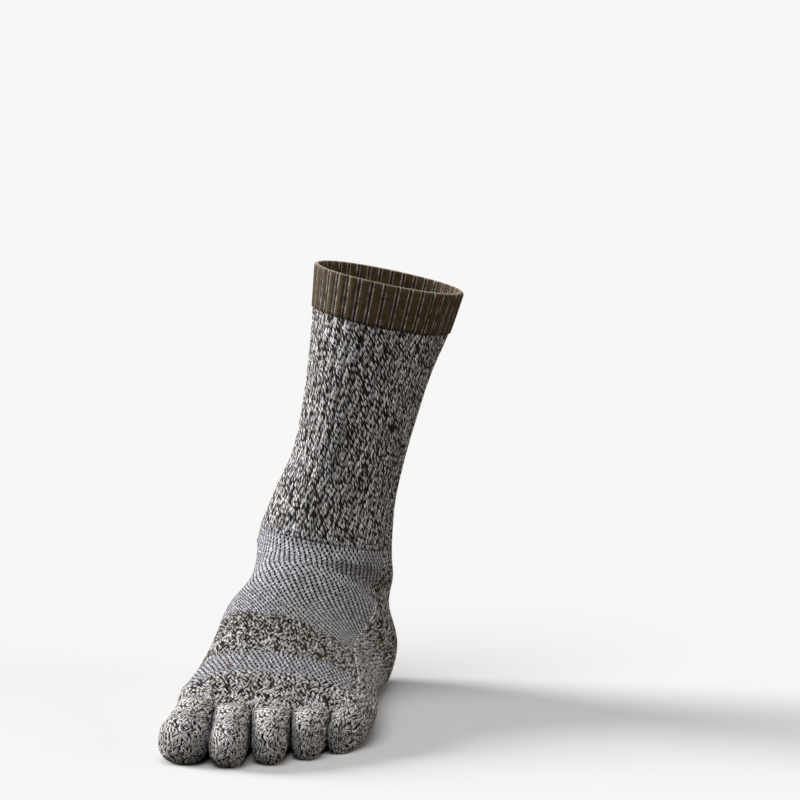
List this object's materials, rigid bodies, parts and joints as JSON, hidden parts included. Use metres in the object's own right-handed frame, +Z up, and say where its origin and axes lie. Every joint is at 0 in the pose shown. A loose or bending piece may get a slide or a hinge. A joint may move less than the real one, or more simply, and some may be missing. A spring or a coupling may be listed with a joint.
{
  "type": "toe sock",
  "caption": "Knitted crew-length toe sock for a left foot, standing open with ribbed cuff, mesh instep bands and separate toe pockets.",
  "frame": {"origin": "on the floor, under the middle of the sock's bounding box", "axes": "+Z up, toes towards -Y, big toe on the -X side, little toe on the +X side"},
  "size_m": [0.1222, 0.25, 0.2408],
  "materials": {
    "ribbed_welt": "matt ribbed knit in an olive-brown yarn",
    "ribbed_marl": "matt ribbed knit in a twisted off-white and dark olive yarn",
    "plain_marl": "matt plain knit in a twisted off-white and dark olive yarn",
    "vent_knit": "matt open knit in a pale lilac-grey yarn over a dark one"
  },
  "bodies": {
    "root": {"cuff": "ribbed_welt", "leg": "ribbed_marl", "heel": "plain_marl", "instep_vent": "vent_knit", "midfoot_band": "plain_marl", "vent_strip": "vent_knit", "sole": "plain_marl", "forefoot": "plain_marl", "big_toe": "plain_marl", "second_toe": "plain_marl", "third_toe": "plain_marl", "fourth_toe": "plain_marl", "little_toe": "plain_marl"}
  },
  "joints": []
}
